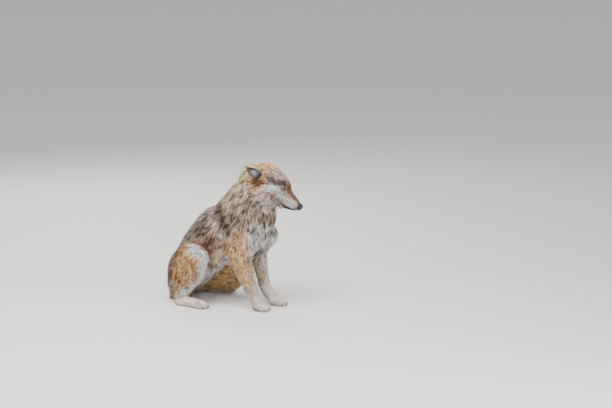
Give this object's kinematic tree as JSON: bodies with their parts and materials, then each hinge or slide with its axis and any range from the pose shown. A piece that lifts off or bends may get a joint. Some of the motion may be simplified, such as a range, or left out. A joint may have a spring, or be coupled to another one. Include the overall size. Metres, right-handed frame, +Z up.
{
  "type": "timber wolf",
  "caption": "Life-size still model of a sitting grey wolf, ears laid back and head turned and lowered, for display on a floor.",
  "frame": {"origin": "on the floor under the middle of the rump, in the flat that the sitting wolf rests on", "axes": "+X the way the chest faces, +Y the wolf's left, +Z up"},
  "size_m": [0.8187, 0.591, 0.804],
  "materials": {
    "coat_grizzled": "long grey-brown guard hair with dark tips, matt",
    "coat_saddle": "dark grizzled guard hair, matt",
    "coat_tawny": "short tan fur, matt",
    "coat_cream": "short pale fur, matt",
    "coat_rust": "ochre fur, matt",
    "nose_leather": "moist pebbled black skin",
    "eye": "wet amber eye, clear gloss"
  },
  "bodies": {
    "root": {"head": "coat_tawny", "lower_jaw": "coat_cream", "neck": "coat_grizzled", "chest": "coat_grizzled", "rump": "coat_saddle", "tail_root": "coat_grizzled", "tail_tip": "coat_grizzled", "ear_right": "coat_grizzled", "ear_left": "coat_grizzled", "eye_right": "eye", "eye_left": "eye", "nose": "nose_leather", "upper_foreleg_right": "coat_tawny", "upper_foreleg_left": "coat_tawny", "forearm_right": "coat_tawny", "forearm_left": "coat_tawny", "forepaw_right": "coat_cream", "forepaw_left": "coat_cream", "thigh_right": "coat_tawny", "thigh_left": "coat_rust", "shank_right": "coat_cream", "shank_left": "coat_rust", "hind_foot_right": "coat_cream", "hind_foot_left": "coat_cream", "hindpaw_right": "coat_cream", "hindpaw_left": "coat_cream"}
  },
  "joints": []
}
